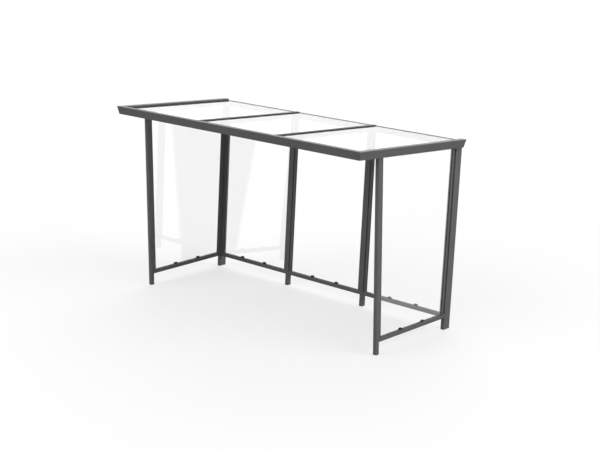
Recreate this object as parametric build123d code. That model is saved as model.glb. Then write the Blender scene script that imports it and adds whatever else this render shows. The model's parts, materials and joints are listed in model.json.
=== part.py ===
from build123d import *
import os
from math import cos, radians, sin

# Glazed canopy shelter: an open front, three glazed walls and a glazed roof on a frame of steel tubes.
# The back wall leans back, and the roof, square to it, falls to the back by the same angle.
# Lengths are in millimetres and angles in degrees.
# +X runs along the shelter, +Y to its back wall and +Z up.
# The origin is on the ground under the middle of the whole outline.

# Overall sizes
shelter_length = 4000       # over the outer faces of the end posts
wall_depth = 1245           # front face of the front posts to the foot of the back wall
back_wall_height = 2232     # along the leaning wall, from the ground to the roof frame
lean_angle = 4
bay_names = ("left", "middle", "right")     # bays of the back wall and of the roof

# Tubes of the frame
tube_wall = 3
tube_radius = 4             # outer corner radius
end_post_width = 50         # front posts and corner posts, along X
front_post_depth = 50
corner_post_depth = 110
back_post_width = 50
back_post_depth = 60

# Bottom rails
rail_width = 50
rail_height = 50
rail_clear_height = 149     # ground to the underside of a rail

# Glazing channels on the posts
channel_width = 18
channel_depth = 46
channel_wall = 3
channel_lip = 4             # length of the lips at the channel's mouth

# Wall glass
wall_glass_thickness = 8
wall_glass_engagement = 20  # how far a pane reaches into a channel
glass_side_clearance = 0.3  # between the faces of a pane and what grips it
glass_top_clearance = 6     # between a wall pane and the roof frame

# Glass clips on the rails
clip_length = 50
clip_width = 24
clip_height = 20
clip_floor = 5              # under the pane
clip_chamfer = 8
clip_place_shares = (1 / 3, 2 / 3)

# Edge beams of the roof
roof_front_reach = 1780     # lower front edge of the roof to the face of the back wall
roof_back_reach = 74        # rear edge of the roof behind the face of the back wall
roof_side_overhang = 46     # lower side edge of the roof beyond the end posts
edge_height = 99
edge_lean_out = 23          # how far the upper edge stands out beyond the lower one
edge_top_width = 80
edge_wall = 3
edge_radius = 1.5
edge_end_slant = 17         # how far the upper back end of a side beam stands behind the lower one

# Roof glass
roof_seat_height = 71       # underside of the roof frame to the underside of the glass
roof_glass_thickness = 8
roof_glass_edge_gap = 3     # between a pane and the upright faces beside it

# Rafters and their caps
rafter_width = 45
cap_width = 45
cap_height = 12
cap_wall = 3
cap_rib_width = 12

# One length that runs past every trimming plane
overrun = 400

# Places worked out from the sizes
lean_cos = cos(radians(lean_angle))
lean_sin = sin(radians(lean_angle))
half_length = shelter_length / 2
end_post_x = half_length - end_post_width / 2
bay_count = len(bay_names)
bay_pitch = 2 * end_post_x / bay_count
rail_top = rail_clear_height + rail_height
rail_centre_z = rail_clear_height + rail_height / 2
pane_bottom = rail_top + clip_floor
roof_glass_top = roof_seat_height + roof_glass_thickness
front_edge = (roof_front_reach + edge_lean_out) * lean_cos - (back_wall_height + edge_height) * lean_sin
post_back_edge = corner_post_depth * lean_cos + back_wall_height * lean_sin
roof_back_edge = (roof_back_reach + edge_end_slant) * lean_cos + (back_wall_height + edge_height) * lean_sin
wall_foot_y = (front_edge - max(post_back_edge, roof_back_edge)) / 2
front_post_y = wall_foot_y - wall_depth
# The ledge of an edge beam reaches over the width of the end posts
edge_ledge = end_post_width + roof_side_overhang + edge_lean_out - edge_top_width
bay_posts_x = [end_post_x - bay_pitch * (bay + 1) for bay in reversed(range(bay_count - 1))]

# Frames: the leaning wall has its local Z up along the posts, the roof has its local Y down the fall
wall = Plane((0, wall_foot_y, 0), x_dir=(1, 0, 0), z_dir=(0, lean_sin, lean_cos))
roof = wall.offset(back_wall_height)
wall_face = Plane(wall.origin, x_dir=(1, 0, 0), z_dir=wall.y_dir)
ground = Plane((0, 0, 0), z_dir=(0, 0, -1))
rail_top_level = Plane((0, 0, rail_top), z_dir=(0, 0, -1))


def trim(piece, *planes):
    for plane in planes:
        piece = split(piece, bisect_by=plane, keep=Keep.BOTTOM)
    return piece


def tube_outline(width, depth, wall_thickness=0):
    size_loss = 2 * wall_thickness
    return RectangleRounded(width - size_loss, depth - size_loss, tube_radius - wall_thickness)


def post(frame, centre_x, centre_y, width, depth):
    # A tube that stands on the ground, open at its foot and closed by a plate under the roof frame
    place = frame * Pos(centre_x, centre_y, -overrun)
    length = back_wall_height + 2 * overrun
    body = trim(place * extrude(tube_outline(width, depth), length), ground, roof)
    hollow = place * extrude(tube_outline(width, depth, tube_wall), length)
    return body - trim(hollow, roof.offset(-tube_wall))


def tube(width, depth, length):
    # A tube along local Z, open at the ends that meet other pieces
    return extrude(tube_outline(width, depth) - tube_outline(width, depth, tube_wall), length)


def channel_outline():
    # Base on local X, mouth towards local +Y, with two lips that close on the glass
    up = (Align.CENTER, Align.MIN)
    slot_width = wall_glass_thickness + 2 * glass_side_clearance
    body = Rectangle(channel_width, channel_depth, align=up)
    cavity_depth = channel_depth - channel_wall - channel_lip
    cavity = Pos(0, channel_wall) * Rectangle(channel_width - 2 * channel_wall, cavity_depth, align=up)
    mouth = Pos(0, channel_wall) * Rectangle(slot_width, channel_depth, align=up)
    return body - cavity - mouth


def channel(frame, base_x, base_y, turn, *planes):
    place = frame * Pos(base_x, base_y, 0) * Rot(0, 0, turn)
    return trim(place * extrude(channel_outline(), back_wall_height + overrun), roof, *planes)


def clip():
    # A block with a slot along local X that holds the lower edge of a pane
    up = (Align.CENTER, Align.CENTER, Align.MIN)
    slot_width = wall_glass_thickness + 2 * glass_side_clearance
    block = Box(clip_length, clip_width, clip_height, align=up)
    top_ends = block.faces().sort_by(Axis.Z)[-1].edges().filter_by(Axis.Y)
    block = chamfer(top_ends, clip_chamfer)
    return block - Pos(0, 0, clip_floor) * Box(clip_length, slot_width, clip_height, align=up)


def clip_pair(run_start, run_end):
    # Two clips along local X, at the same shares of the run
    run = run_end - run_start
    return Compound([Pos(run_start + share * run, 0, 0) * clip() for share in clip_place_shares])


def edge_outline(wall_thickness=0):
    # Section of a roof edge beam: local X inwards from the lower outer edge, local Y up
    inner_face = edge_top_width - edge_lean_out
    points = [
        (0, 0),
        (-edge_lean_out, edge_height),
        (inner_face, edge_height),
        (inner_face, roof_seat_height),
        (inner_face + edge_ledge, roof_seat_height),
        (inner_face + edge_ledge, 0),
    ]
    outline = make_face(Polyline(points, close=True))
    if wall_thickness:
        return offset(outline, -wall_thickness)
    return fillet(outline.vertices(), edge_radius)


parts = {}

# Posts
upright = Plane((0, front_post_y, 0))
sides = {"left": -1, "right": 1}
for side, sign in sides.items():
    parts[f"front_post_{side}"] = post(
        upright, sign * end_post_x, front_post_depth / 2, end_post_width, front_post_depth)
    parts[f"back_corner_post_{side}"] = post(
        wall, sign * end_post_x, corner_post_depth / 2, end_post_width, corner_post_depth)
for side, post_x in zip(sides, bay_posts_x):
    parts[f"back_post_{side}"] = post(wall, post_x, back_post_depth / 2, back_post_width, back_post_depth)

# Side walls: rail, two channels, one pane with a leaning back edge and its clips
rail_start_y = front_post_y + front_post_depth
side_pane_front = rail_start_y + channel_depth - wall_glass_engagement
side_pane_back = wall_face.offset(wall_glass_engagement - channel_depth)
side_pane_planes = (
    Plane((0, side_pane_front, 0), z_dir=(0, -1, 0)),
    side_pane_back,
    Plane((0, 0, pane_bottom), z_dir=(0, 0, -1)),
    roof.offset(-glass_top_clearance),
)
for side, sign in sides.items():
    wall_x = sign * end_post_x
    along = Plane((wall_x, rail_start_y, rail_centre_z), x_dir=(1, 0, 0), z_dir=(0, 1, 0))
    long_rail = tube(rail_width, rail_height, wall_depth + overrun)
    parts[f"{side}_wall_rail"] = trim(along * long_rail, wall_face)
    parts[f"{side}_wall_front_channel"] = channel(
        Plane((0, rail_start_y, 0)), wall_x, 0, 0, rail_top_level)
    parts[f"{side}_wall_back_channel"] = channel(wall, wall_x, 0, 180, rail_top_level)
    sheet = Pos(wall_x, 0, 0) * Box(
        wall_glass_thickness, 2 * (wall_depth + overrun), 2 * (back_wall_height + overrun))
    parts[f"{side}_wall_glass"] = trim(sheet, *side_pane_planes)
    rail_end_y = wall_foot_y + rail_top * lean_sin / lean_cos
    along_wall = Plane((wall_x, 0, rail_top), x_dir=(0, 1, 0), z_dir=(0, 0, 1))
    parts[f"{side}_wall_clips"] = along_wall * clip_pair(rail_start_y, rail_end_y)

# Back wall: the same pieces in each bay, in the leaning frame, with the glass over the middle of the rail
glass_y = rail_width / 2
post_faces_x = [-half_length + end_post_width]
for post_x in bay_posts_x:
    post_faces_x += [post_x - back_post_width / 2, post_x + back_post_width / 2]
post_faces_x.append(half_length - end_post_width)
rail_top_in_wall = wall.offset(rail_top)
above_rail = Plane(rail_top_in_wall.origin, x_dir=(1, 0, 0), z_dir=-rail_top_in_wall.z_dir)
for bay, name in enumerate(bay_names):
    bay_start, bay_end = post_faces_x[2 * bay:2 * bay + 2]
    along = Plane((bay_start, glass_y, rail_centre_z), x_dir=(0, 1, 0), z_dir=(1, 0, 0))
    bay_rail = tube(rail_width, rail_height, bay_end - bay_start)
    parts[f"back_rail_{name}"] = wall.location * (along * bay_rail)
    parts[f"back_{name}_bay_left_channel"] = channel(wall, bay_start, glass_y, -90, above_rail)
    parts[f"back_{name}_bay_right_channel"] = channel(wall, bay_end, glass_y, 90, above_rail)
    edge_inset = channel_depth - wall_glass_engagement
    pane_width = bay_end - bay_start - 2 * edge_inset
    pane_height = back_wall_height - glass_top_clearance - pane_bottom
    pane_place = wall * Pos((bay_start + bay_end) / 2, glass_y, pane_bottom + pane_height / 2)
    parts[f"back_glass_{name}"] = pane_place * Box(pane_width, wall_glass_thickness, pane_height)
    parts[f"back_clips_{name}"] = wall * Pos(0, glass_y, rail_top) * clip_pair(bay_start, bay_end)

# Roof edge beams, in the roof frame: mitred at the front corners, closed at the back ends
edge_x = half_length + roof_side_overhang
front_y = -roof_front_reach
mitre_planes = {}
for side, sign in sides.items():
    mitre_planes[side] = Plane((sign * edge_x, front_y, 0), x_dir=(0, 0, 1), z_dir=(sign, 1, 0))
front_place = Plane((-edge_x - overrun, front_y, 0), x_dir=(0, 1, 0), z_dir=(1, 0, 0))
front_length = 2 * (edge_x + overrun)
front_beam = front_place * extrude(edge_outline(), front_length)
front_beam -= front_place * extrude(edge_outline(edge_wall), front_length)
parts["front_edge_beam"] = roof.location * trim(front_beam, *mitre_planes.values())
end_cut = Plane((0, roof_back_reach, 0), x_dir=(1, 0, 0), z_dir=(0, edge_height, -edge_end_slant))
side_length = roof_front_reach + roof_back_reach + 2 * overrun
for side, sign in sides.items():
    place = Plane((sign * edge_x, front_y - overrun, 0), x_dir=(-sign, 0, 0), z_dir=(0, sign, 0))
    reach = sign * side_length
    body = trim(place * extrude(edge_outline(), reach), end_cut)
    body -= trim(place * extrude(edge_outline(edge_wall), reach), end_cut.offset(-edge_wall))
    mitre = mitre_planes[side]
    front_cut = Plane(mitre.origin, x_dir=mitre.x_dir, z_dir=-mitre.z_dir)
    parts[f"{side}_edge_beam"] = roof.location * trim(body, front_cut)

# Back beam between the side beams, over the back posts
ledge_x = edge_x + edge_lean_out - edge_top_width - edge_ledge
beam_place = Plane((-ledge_x, back_post_depth / 2, roof_seat_height / 2), x_dir=(0, 1, 0), z_dir=(1, 0, 0))
parts["back_beam"] = roof.location * (beam_place * tube(back_post_depth, roof_seat_height, 2 * ledge_x))

# Rafters from the front ledge to the back beam, and the caps that hold the glass down on them
inner_face_y = front_y + edge_top_width - edge_lean_out
rafter_start = inner_face_y + edge_ledge
cap_length = roof_back_reach - inner_face_y
up_along = (Align.CENTER, Align.MIN, Align.MIN)
cap = Pos(0, 0, roof_glass_top) * Box(cap_width, cap_length, cap_height, align=up_along)
cap -= Pos(0, cap_wall, roof_glass_top) * Box(
    cap_width - 2 * cap_wall, cap_length - 2 * cap_wall, cap_height - cap_wall, align=up_along)
rib_height = roof_glass_thickness + cap_height - cap_wall
cap += Pos(0, rafter_start - inner_face_y, roof_seat_height) * Box(
    cap_rib_width, roof_back_reach - rafter_start, rib_height, align=up_along)
rafter = tube(rafter_width, roof_seat_height, -rafter_start)
for side, rafter_x in zip(sides, bay_posts_x):
    rafter_place = Plane((rafter_x, rafter_start, roof_seat_height / 2), x_dir=(-1, 0, 0), z_dir=(0, 1, 0))
    parts[f"rafter_{side}"] = roof.location * (rafter_place * rafter)
    parts[f"rafter_cap_{side}"] = roof.location * (Pos(rafter_x, inner_face_y, 0) * cap)

# Roof glass on the ledges, the rafters and the back beam
inner_face_x = edge_x + edge_lean_out - edge_top_width
pane_edges_x = [-inner_face_x + roof_glass_edge_gap]
for rafter_x in bay_posts_x:
    rib_face = cap_rib_width / 2 + roof_glass_edge_gap
    pane_edges_x += [rafter_x - rib_face, rafter_x + rib_face]
pane_edges_x.append(inner_face_x - roof_glass_edge_gap)
corner = (Align.MIN, Align.MIN, Align.MIN)
roof_pane_front = inner_face_y + roof_glass_edge_gap
roof_pane_length = roof_back_reach - roof_pane_front
for bay, name in enumerate(bay_names):
    pane_start, pane_end = pane_edges_x[2 * bay:2 * bay + 2]
    pane = Box(pane_end - pane_start, roof_pane_length, roof_glass_thickness, align=corner)
    pane_corner = Pos(pane_start, roof_pane_front, roof_seat_height)
    parts[f"roof_glass_{name}"] = roof.location * (pane_corner * pane)

os.makedirs("parts", exist_ok=True)
for name, piece in parts.items():
    export_step(piece, f"parts/{name}.step")
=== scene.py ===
import json
from math import cos, radians, sin

import bmesh
import bpy
from mathutils import Matrix, Vector


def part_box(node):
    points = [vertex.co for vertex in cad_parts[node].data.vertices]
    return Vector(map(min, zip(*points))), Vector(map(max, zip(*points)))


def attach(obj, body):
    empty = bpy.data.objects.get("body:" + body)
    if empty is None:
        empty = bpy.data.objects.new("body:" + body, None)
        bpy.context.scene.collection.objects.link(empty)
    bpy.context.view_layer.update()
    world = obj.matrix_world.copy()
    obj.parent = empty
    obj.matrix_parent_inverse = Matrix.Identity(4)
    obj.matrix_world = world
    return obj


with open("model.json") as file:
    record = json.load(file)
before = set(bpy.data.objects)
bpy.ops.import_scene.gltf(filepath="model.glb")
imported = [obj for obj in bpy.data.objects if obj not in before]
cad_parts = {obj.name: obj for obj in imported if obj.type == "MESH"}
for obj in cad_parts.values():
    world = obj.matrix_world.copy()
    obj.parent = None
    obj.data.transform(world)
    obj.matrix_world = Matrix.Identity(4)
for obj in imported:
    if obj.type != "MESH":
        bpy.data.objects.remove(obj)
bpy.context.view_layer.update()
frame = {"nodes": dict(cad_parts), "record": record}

scene = bpy.context.scene
mm = 0.001
print("frame loaded:", len(frame["nodes"]), "nodes")


def toLinear(hexColour):
    # sRGB hex to the linear values that the sockets take
    channels = [int(hexColour[i:i + 2], 16) / 255 for i in (1, 3, 5)]
    linear = [c / 12.92 if c <= 0.04045 else ((c + 0.055) / 1.055) ** 2.4 for c in channels]
    return (*linear, 1.0)


def addNode(tree, kind, settings=None, links=None, stops=()):
    # settings are its options and inputs, links what is plugged in, stops a ramp's places and colours
    node = tree.nodes.new("ShaderNode" + kind)
    for key, value in (settings or {}).items():
        if isinstance(key, str) and hasattr(node, key):
            setattr(node, key, value)
        else:
            node.inputs[key].default_value = value
    for key, socket in (links or {}).items():
        tree.links.new(socket, node.inputs[key])
    for index, (position, colour) in enumerate(stops):
        node.color_ramp.elements[index].position = position
        node.color_ramp.elements[index].color = toLinear(colour)
    return node


def newMaterial(name):
    material = bpy.data.materials.new(name)
    material.use_nodes = True
    material.node_tree.nodes.clear()
    return material, material.node_tree


def perMetre(sizeMm):
    # texture scale that repeats once in the given size
    return 1 / (sizeMm * mm)


# Anthracite powder coat on steel and aluminium, sprayed and baked: satin, with a faint orange peel
coat = {
    "deep": "#515152",
    "pale": "#575758",
    "toneStops": (0.3, 0.7),    # values of the drift where the coat is deep and pale
    "driftMm": 420,         # slow change of film thickness
    "driftDetail": 3,
    "peelMm": 9,            # real peel is about 2 mm, drawn coarser so that it shows
    "peelDetail": 1,
    "peelDepthMm": 0.05,
    "peelStrength": 0.5,
    "roughness": (0.46, 0.56),
    "ior": 1.5,
}


def makeCoat(name, look):
    material, tree = newMaterial(name)
    place = addNode(tree, "TexCoord").outputs["Object"]
    drift = addNode(tree, "TexNoise", {"Scale": perMetre(look["driftMm"]), "Detail": look["driftDetail"]},
                    {"Vector": place}).outputs["Fac"]
    tone = addNode(tree, "ValToRGB", links={"Fac": drift},
                   stops=zip(look["toneStops"], (look["deep"], look["pale"])))
    peel = addNode(tree, "TexNoise", {"Scale": perMetre(look["peelMm"]), "Detail": look["peelDetail"]},
                   {"Vector": place})
    low, high = look["roughness"]
    sheen = addNode(tree, "MapRange", {"To Min": low, "To Max": high}, {"Value": drift})
    relief = addNode(tree, "Bump", {"Strength": look["peelStrength"], "Distance": look["peelDepthMm"] * mm},
                     {"Height": peel.outputs["Fac"]})
    shader = addNode(tree, "BsdfPrincipled", {"IOR": look["ior"]}, {
        "Base Color": tone.outputs["Color"], "Roughness": sheen.outputs["Result"],
        "Normal": relief.outputs["Normal"]})
    addNode(tree, "OutputMaterial", links={"Surface": shader.outputs["BSDF"]})
    return material


# The leaning back wall and the roof square to it, as frames for what is placed on them
wall = {
    "leanDeg": 4,           # as the part is built
}
lean = radians(wall["leanDeg"])
leanCos, leanSin = cos(lean), sin(lean)
postFoot, postHead = (Vector(corner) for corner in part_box("back_post_left"))
wallHeight = postHead.z / leanCos
wallFrame = Matrix.Translation((0, postFoot.y, 0)) @ Matrix.Rotation(-lean, 4, "X")
roofFrame = wallFrame @ Matrix.Translation((0, 0, wallHeight))

# Clear float glass, fire polished faces and ground edges: no colour face on, grey green at the cut edge
glass = {
    "face": "#fefefe",
    "edge": "#565c59",
    "edgeRoughness": 0.35,
    "edgeBelow": 0.5,       # a face that points less than this along the pane's normal is a cut edge
    "ior": 1.6,             # a little over float glass, so that its sheen reads from afar
    "waveMm": 280,          # roller wave of toughened glass
    "waveDepthMm": 0.01,
    "waveDetail": 0,
    "lampsThrough": "#d0d0d0",  # what one face leaves of lamp light: 0.4 passes a pane, for its shadow
}


def makeGlass(name, look, paneNormal):
    material, tree = newMaterial(name)
    place = addNode(tree, "TexCoord").outputs["Object"]
    wave = addNode(tree, "TexNoise", {"Scale": perMetre(look["waveMm"]), "Detail": look["waveDetail"]},
                   {"Vector": place})
    relief = addNode(tree, "Bump", {"Distance": look["waveDepthMm"] * mm}, {"Height": wave.outputs["Fac"]})
    clear = addNode(tree, "BsdfPrincipled", {
        "Base Color": toLinear(look["face"]), "Roughness": 0, "IOR": look["ior"],
        "Transmission Weight": 1}, {"Normal": relief.outputs["Normal"]})
    edge = addNode(tree, "BsdfPrincipled", {
        "Base Color": toLinear(look["edge"]), "Roughness": look["edgeRoughness"]})
    facing = addNode(tree, "NewGeometry").outputs["True Normal"]
    across = addNode(tree, "VectorMath", {"operation": "DOT_PRODUCT", 1: paneNormal}, {0: facing})
    square = addNode(tree, "Math", {"operation": "ABSOLUTE"}, {0: across.outputs["Value"]})
    isEdge = addNode(tree, "Math", {"operation": "LESS_THAN", 1: look["edgeBelow"]},
                     {0: square.outputs["Value"]})
    sheet = addNode(tree, "MixShader", links={
        "Fac": isEdge.outputs["Value"], 1: clear.outputs["BSDF"], 2: edge.outputs["BSDF"]})
    rays = addNode(tree, "LightPath").outputs
    fromLamps = addNode(tree, "Math", {"operation": "MAXIMUM"},
                        {0: rays["Is Shadow Ray"], 1: rays["Is Diffuse Ray"]})
    through = addNode(tree, "BsdfTransparent", {"Color": toLinear(look["lampsThrough"])})
    pane = addNode(tree, "MixShader", links={
        "Fac": fromLamps.outputs["Value"], 1: sheet.outputs["Shader"], 2: through.outputs["BSDF"]})
    addNode(tree, "OutputMaterial", links={"Surface": pane.outputs["Shader"]})
    return material


# EPDM rubber, moulded as clips and extruded as seals: matt black with a faint bloom
rubber = {
    "black": "#1c1c1d",
    "bloom": "#2a2a2b",
    "bloomStops": (0.35, 0.75),     # values of the noise where the rubber is bare and bloomed
    "bloomMm": 14,
    "bloomDetail": 4,
    "roughness": 0.72,
}


def makeRubber(name, look):
    material, tree = newMaterial(name)
    place = addNode(tree, "TexCoord").outputs["Object"]
    bloom = addNode(tree, "TexNoise", {"Scale": perMetre(look["bloomMm"]), "Detail": look["bloomDetail"]},
                    {"Vector": place})
    tone = addNode(tree, "ValToRGB", links={"Fac": bloom.outputs["Fac"]},
                   stops=zip(look["bloomStops"], (look["black"], look["bloom"])))
    shader = addNode(tree, "BsdfPrincipled", {"Roughness": look["roughness"]},
                     {"Base Color": tone.outputs["Color"]})
    addNode(tree, "OutputMaterial", links={"Surface": shader.outputs["BSDF"]})
    return material


steelCoat = makeCoat("powder_coat_on_steel", coat)
channelCoat = makeCoat("powder_coat_on_aluminium", coat)
sideGlass = makeGlass("float_glass_toughened_side", glass, (1, 0, 0))
backGlass = makeGlass("float_glass_toughened_back", glass, (0, leanCos, -leanSin))
roofGlass = makeGlass("float_glass_laminated_roof", glass, (0, leanSin, leanCos))
clipRubber = makeRubber("rubber_moulded", rubber)
sealRubber = makeRubber("epdm_rubber_extruded", rubber)
finishes = {
    "frame_coat": steelCoat, "glazing_channel": channelCoat, "wall_glass": sideGlass,
    "roof_glass": roofGlass, "glass_clip": clipRubber,
}
for subpart in frame["record"]["subparts"]:
    name = subpart["node"]
    slots = frame["nodes"][name].data.materials
    slots.clear()
    slots.append(backGlass if name.startswith("back_glass") else finishes[subpart["material_slot"]])
print("finishes set:", len(bpy.data.materials))


def boxIn(place, name):
    # lowest and highest corner of a node, measured in a leaning frame
    inside = place.inverted()
    points = [inside @ vert.co for vert in frame["nodes"][name].data.vertices]
    return [Vector(map(pick, zip(*points))) for pick in (min, max)]


def standIn(base, point, across, out, along):
    # place of a section: across and out span it, along is the way it runs
    return base @ Matrix.Translation(point) @ Matrix((across, out, along)).transposed().to_4x4()


cornerSteps = 3     # faces around a rounded corner of a strip


def drawStrip(mesh, outline, rounding, length, place):
    # a section in millimetres with its proud corners rounded, drawn out along local Z
    foot = mesh.faces.new([mesh.verts.new((x * mm, y * mm, 0)) for x, y in outline])
    proud = [vert for vert in foot.verts if vert.co.y > 0]
    bmesh.ops.bevel(
        mesh, geom=proud, offset=rounding * mm, segments=cornerSteps, profile=0.5, affect="VERTICES",
        material=-1)
    foot = next(face for face in mesh.faces if all(edge.is_boundary for edge in face.edges))
    start = list(foot.verts)
    drawn = bmesh.ops.extrude_face_region(mesh, geom=[foot])
    end = [item for item in drawn["geom"] if isinstance(item, bmesh.types.BMVert)]
    bmesh.ops.translate(mesh, verts=end, vec=(0, 0, length))
    bmesh.ops.transform(mesh, matrix=place, verts=start + end)


def cutOff(mesh, point, normal):
    # takes away what lies beyond a plane and closes the cut
    everything = mesh.verts[:] + mesh.edges[:] + mesh.faces[:]
    cut = bmesh.ops.bisect_plane(mesh, geom=everything, plane_co=point, plane_no=normal, clear_outer=True)
    rim = [item for item in cut["geom_cut"] if isinstance(item, bmesh.types.BMEdge)]
    bmesh.ops.edgeloop_fill(mesh, edges=rim)


def newPiece(name, mesh, material):
    bmesh.ops.recalc_face_normals(mesh, faces=mesh.faces)
    data = bpy.data.meshes.new(name)
    mesh.to_mesh(data)
    mesh.free()
    data.materials.append(material)
    piece = bpy.data.objects.new(name, data)
    scene.collection.objects.link(piece)
    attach(piece, "root")


# Wedge gaskets on both faces of a pane, pressed into the mouths of its two channels
gasket = {
    "glassFace": 4.05,      # from the middle of the pane
    "channelSide": 8.4,
    "root": -0.5,           # inside the mouth
    "low": 1.2,             # proud of the mouth at the channel's side
    "high": 2.4,            # and on the glass
    "rounding": 0.8,
}
gasketOutline = (
    (gasket["glassFace"], gasket["root"]), (gasket["channelSide"], gasket["root"]),
    (gasket["channelSide"], gasket["low"]), (gasket["glassFace"], gasket["high"]),
)
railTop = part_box("left_wall_rail")[1][2]
upright = Matrix()
roofNormal = roofFrame.to_3x3() @ Vector((0, 0, 1))


def addGaskets(mesh, channelName, base, out):
    # out is the way from the channel's mouth to the pane, along X or Y of the base frame
    low, high = boxIn(base, channelName)
    mouth = (low + high) / 2
    for axis in (0, 1):
        if out[axis]:
            mouth[axis] = high[axis] if out[axis] > 0 else low[axis]
    mouth.z = low.z
    for face in (1, -1):
        across = (face * abs(out[1]), face * abs(out[0]), 0)
        place = standIn(base, mouth, across, out, (0, 0, 1))
        drawStrip(mesh, gasketOutline, gasket["rounding"], high.z - low.z, place)


for side in ("left", "right"):
    mesh = bmesh.new()
    addGaskets(mesh, f"{side}_wall_front_channel", upright, (0, 1, 0))
    addGaskets(mesh, f"{side}_wall_back_channel", wallFrame, (0, -1, 0))
    cutOff(mesh, roofFrame.translation, roofNormal)
    cutOff(mesh, (0, 0, railTop), (0, 0, -1))
    newPiece(f"{side}_wall_gaskets", mesh, sealRubber)
for bay in ("left", "middle", "right"):
    mesh = bmesh.new()
    addGaskets(mesh, f"back_{bay}_bay_left_channel", wallFrame, (1, 0, 0))
    addGaskets(mesh, f"back_{bay}_bay_right_channel", wallFrame, (-1, 0, 0))
    newPiece(f"back_{bay}_gaskets", mesh, sealRubber)
print("gaskets set in the channels")

# Seals where the roof glass meets the beams and the caps, and trims on the free rear edge of each pane
roofSeal = {
    "sunk": 0.5,            # into the beam or the cap beside it
    "play": 0.1,            # over the pane
    "reach": 6.5,
    "toe": 1.4,             # height of its thin edge
    "toeSlope": 1,          # how far that edge leans back
    "shoulder": 1.5,        # width at full height
    "height": 4.5,
    "rounding": 0.6,
    "beamGap": 3,           # from a pane to the beam beside it
}
sealOutline = (
    (-roofSeal["sunk"], roofSeal["play"]), (roofSeal["reach"], roofSeal["play"]),
    (roofSeal["reach"] - roofSeal["toeSlope"], roofSeal["toe"]),
    (roofSeal["shoulder"], roofSeal["height"]), (-roofSeal["sunk"], roofSeal["height"]),
)
edgeTrim = {
    "leg": 11,              # reach over the pane
    "top": 3.3,
    "under": 3,
    "back": 3.5,
    "play": 0.1,            # around the pane
    "rounding": 1.6,
}
covers = [boxIn(roofFrame, f"rafter_cap_{side}") for side in ("left", "right")]
panes = [boxIn(roofFrame, f"roof_glass_{bay}") for bay in ("left", "middle", "right")]
beamGap = roofSeal["beamGap"] * mm
spanStarts = [panes[0][0].x - beamGap] + [high.x for low, high in covers]
spanEnds = [low.x for low, high in covers] + [panes[-1][1].x + beamGap]
glassTop = panes[0][1].z
glassFront, glassRear = panes[0][0].y - beamGap, panes[0][1].y
glassDepth = (glassTop - panes[0][0].z) / mm
leg, top, back, play = (edgeTrim[key] for key in ("leg", "top", "back", "play"))
inner = -glassDepth - play
outer = inner - edgeTrim["under"]
trimOutline = (
    (leg, play), (leg, top), (-back, top), (-back, outer), (leg, outer), (leg, inner), (-play, inner),
    (-play, play),
)
for bay, start, end in zip(("left", "middle", "right"), spanStarts, spanEnds):
    mesh = bmesh.new()
    for x, away in ((start, 1), (end, -1)):
        place = standIn(roofFrame, (x, glassFront, glassTop), (away, 0, 0), (0, 0, 1), (0, 1, 0))
        drawStrip(mesh, sealOutline, roofSeal["rounding"], glassRear - glassFront, place)
    place = standIn(roofFrame, (start, glassFront, glassTop), (0, 1, 0), (0, 0, 1), (1, 0, 0))
    drawStrip(mesh, sealOutline, roofSeal["rounding"], end - start, place)
    newPiece(f"roof_seal_{bay}", mesh, sealRubber)
    mesh = bmesh.new()
    place = standIn(roofFrame, (start, glassRear, glassTop), (0, -1, 0), (0, 0, 1), (1, 0, 0))
    drawStrip(mesh, trimOutline, edgeTrim["rounding"], end - start, place)
    newPiece(f"roof_rear_trim_{bay}", mesh, sealRubber)
print("seals and trims set on the roof glass")

# Round-headed socket screws with washers, along the caps
screw = {
    "washerRadius": 7.5,
    "washerHeight": 1.4,
    "headRadius": 5.5,
    "headTopRadius": 3.6,
    "headHeight": 3.0,
    "socketRim": 1.6,       # from the edge of the head's top to its socket
    "socketDepth": 1.8,
    "sides": 20,
    "pitch": 300,
    "end": 70,              # from the ends of a cap to the last screws
}


def addCone(mesh, place, bottom, foot, head, height):
    # a round step from one radius to the other, standing at a height above the place
    middle = Matrix.Translation((0, 0, (bottom + height / 2) * mm))
    made = bmesh.ops.create_cone(
        mesh, cap_ends=True, segments=screw["sides"], radius1=foot * mm, radius2=head * mm,
        depth=height * mm, matrix=place @ middle)
    return {face for vert in made["verts"] for face in vert.link_faces}


def addScrew(mesh, place):
    # stands on local Z = 0
    addCone(mesh, place, 0, screw["washerRadius"], screw["washerRadius"], screw["washerHeight"])
    head = addCone(mesh, place, screw["washerHeight"], screw["headRadius"], screw["headTopRadius"],
                   screw["headHeight"])
    up = place.to_3x3() @ Vector((0, 0, 1))
    top = max(head, key=lambda face: face.calc_center_median() @ up)
    bmesh.ops.inset_individual(mesh, faces=[top], thickness=screw["socketRim"] * mm)
    sunk = bmesh.ops.extrude_discrete_faces(mesh, faces=[top])["faces"]
    bmesh.ops.translate(mesh, verts=sunk[0].verts, vec=-up * screw["socketDepth"] * mm)


for side, (low, high) in zip(("left", "right"), covers):
    mesh = bmesh.new()
    run = high.y - low.y - 2 * screw["end"] * mm
    count = round(run / (screw["pitch"] * mm))
    for step in range(count + 1):
        y = low.y + screw["end"] * mm + run * step / count
        addScrew(mesh, roofFrame @ Matrix.Translation(((low.x + high.x) / 2, y, high.z)))
    newPiece(f"rafter_cap_screws_{side}", mesh, steelCoat)
print("screws set in the caps")

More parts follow.
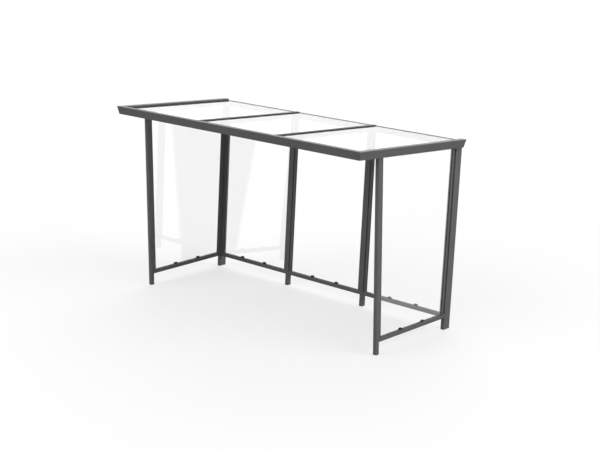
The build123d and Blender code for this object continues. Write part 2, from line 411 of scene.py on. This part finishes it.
# Floor and surroundings: everything white, with the soft shadow left on the floor
studio = {
    "white": 1,             # strength at which the surroundings show as white
    "floorColour": "#f8f8f8",
    "floorReach": 60,       # metres from the middle to a side
    "floorGlow": 0.60,      # share of the floor's white that no shadow takes away
    "fill": 0.34,           # lamp light from all around
    "boxes": ((15, 18, 3.4), (120, 30, 2.1), (255, 28, 1.9)),   # azimuth, height, brightness
    "boxEdge": (40, 16),    # degrees from the middle of a box to where its light ends and is full
    "backLight": (134, 8, 0.42),    # glow low behind, in the roof's reflection
    "backLightEdge": (30, 12),      # as boxEdge
    "flags": ((43.8, 3.38, 3.14), (-136.2, 1.99, 5.13)),    # azimuth, half width and taper in degrees
    "flagSoftness": 0.08,   # degrees from its edge to where a flag is full
}
whiteLight = toLinear("#ffffff")


def towards(azimuth, height):
    a, h = radians(azimuth), radians(height)
    return (cos(a) * cos(h), sin(a) * cos(h), sin(h))


def softBox(tree, way, azimuth, height, edge):
    # 1 inside a round soft box, 0 outside
    end, full = (cos(radians(angle)) for angle in edge)
    near = addNode(tree, "VectorMath", {"operation": "DOT_PRODUCT", 1: towards(azimuth, height)}, {0: way})
    glow = addNode(
        tree, "MapRange", {"interpolation_type": "SMOOTHSTEP", "From Min": end, "From Max": full},
        {"Value": near.outputs["Value"]})
    return glow.outputs["Result"]


onceOrMore = 0.5    # a count of bounces above this is at least one


def rayKinds(tree):
    # masks: rays that show the white surroundings, as a satin sheen doesn't, and those that a pane mirrors
    rays = addNode(tree, "LightPath").outputs
    seen = addNode(tree, "Math", {"operation": "MAXIMUM"},
                   {0: rays["Is Camera Ray"], 1: rays["Is Glossy Ray"]})
    seen = addNode(tree, "Math", {"operation": "MAXIMUM"},
                   {0: seen.outputs["Value"], 1: rays["Is Transmission Ray"]})
    satin = addNode(tree, "Math", {"operation": "SUBTRACT", "use_clamp": True},
                    {0: rays["Is Glossy Ray"], 1: rays["Is Singular Ray"]})
    bounced = addNode(tree, "Math", {"operation": "GREATER_THAN", 1: onceOrMore}, {0: rays["Glossy Depth"]})
    mirrored = addNode(tree, "Math", {"operation": "MULTIPLY"},
                       {0: bounced.outputs["Value"], 1: rays["Is Singular Ray"]})
    seen = addNode(tree, "Math", {"operation": "SUBTRACT", "use_clamp": True},
                   {0: seen.outputs["Value"], 1: satin.outputs["Value"]})
    return seen.outputs["Value"], mirrored.outputs["Value"]


floorMesh = bmesh.new()
bmesh.ops.create_grid(floorMesh, x_segments=1, y_segments=1, size=studio["floorReach"])
floorData = bpy.data.meshes.new("floor")
floorMesh.to_mesh(floorData)
floorMesh.free()
floor = bpy.data.objects.new("floor", floorData)
scene.collection.objects.link(floor)
# Matt white paper, rolled out: no sheen, it only takes the shadow, and panes don't mirror it
floorPaper, tree = newMaterial("paper_floor")
seen, mirrored = rayKinds(tree)
paper = addNode(tree, "BsdfDiffuse", {"Color": toLinear(studio["floorColour"])})
white = addNode(tree, "Emission", {"Color": whiteLight}, {"Strength": seen})
lit = addNode(tree, "MixShader", {"Fac": studio["floorGlow"]},
              {1: paper.outputs["BSDF"], 2: white.outputs["Emission"]})
clear = addNode(tree, "BsdfTransparent")
shown = addNode(tree, "MixShader", links={
    "Fac": mirrored, 1: lit.outputs["Shader"], 2: clear.outputs["BSDF"]})
addNode(tree, "OutputMaterial", links={"Surface": shown.outputs["Shader"]})
floorData.materials.append(floorPaper)

world = bpy.data.worlds.new("studio")
scene.world = world
world.use_nodes = True
tree = world.node_tree
tree.nodes.clear()
way = addNode(tree, "TexCoord").outputs["Generated"]
seen, mirrored = rayKinds(tree)
lampLevel = None
for azimuth, height, brightness in studio["boxes"]:
    links = {0: softBox(tree, way, azimuth, height, studio["boxEdge"])}
    if lampLevel:
        links[2] = lampLevel
    lampLevel = addNode(tree, "Math", {"operation": "MULTIPLY_ADD", 1: brightness, 2: studio["fill"]},
                        links).outputs["Value"]
# what panes mirror: white, a glow low behind and two dark flags, to the left and right of the view
azimuth, height, brightness = studio["backLight"]
glow = softBox(tree, way, azimuth, height, studio["backLightEdge"])
paneLevel = addNode(tree, "Math", {"operation": "MULTIPLY_ADD", 1: brightness, 2: studio["white"]},
                    {0: glow}).outputs["Value"]
axes = addNode(tree, "SeparateXYZ", links={0: way}).outputs
turn = addNode(tree, "Math", {"operation": "ARCTAN2"}, {0: axes["Y"], 1: axes["X"]}).outputs["Value"]
for azimuth, halfWidth, taper in studio["flags"]:
    off = addNode(tree, "Math", {"operation": "SUBTRACT", 1: radians(azimuth)}, {0: turn})
    off = addNode(tree, "Math", {"operation": "ABSOLUTE"}, {0: off.outputs["Value"]})
    edge = addNode(tree, "Math", {"operation": "MULTIPLY_ADD", 1: radians(taper), 2: radians(halfWidth)},
                   {0: axes["Z"]})
    beyond = addNode(tree, "Math", {"operation": "SUBTRACT"},
                     {0: off.outputs["Value"], 1: edge.outputs["Value"]})
    soft = radians(studio["flagSoftness"])
    uncovered = addNode(tree, "MapRange", {"From Min": -soft, "From Max": soft},
                        {"Value": beyond.outputs["Value"]})
    paneLevel = addNode(tree, "Math", {"operation": "MULTIPLY"},
                        {0: paneLevel, 1: uncovered.outputs["Result"]}).outputs["Value"]
seenLevel = addNode(tree, "MapRange", {"To Min": studio["white"]}, {"Value": mirrored, "To Max": paneLevel})
strength = addNode(tree, "MapRange", links={
    "Value": seen, "To Min": lampLevel, "To Max": seenLevel.outputs["Result"]})
sky = addNode(tree, "Background", {"Color": whiteLight}, {"Strength": strength.outputs["Result"]})
addNode(tree, "OutputWorld", links={"Surface": sky.outputs["Background"]})

# Camera at the photograph's place: a long lens from the front right, looking down on the roof
view = {
    "place": (12.0804, -12.3377, 5.6502),
    "pitch": 14.8328,       # degrees below the horizon
    "turn": 43.7880,        # degrees to the left of +Y
    "focalPixels": 1428.89,
    "imageWidth": 600,
    "sensorMm": 36,
    "farthest": 500,        # metres that it sees
}
cameraData = bpy.data.cameras.new("camera")
cameraData.sensor_width = view["sensorMm"]
cameraData.lens = view["focalPixels"] / view["imageWidth"] * cameraData.sensor_width
camera = bpy.data.objects.new("camera", cameraData)
camera.location = view["place"]
camera.rotation_euler = (radians(90 - view["pitch"]), 0, radians(view["turn"]))
cameraData.clip_end = view["farthest"]
scene.collection.objects.link(camera)
scene.camera = camera
scene.view_settings.view_transform = "Standard"
print("studio and camera set")
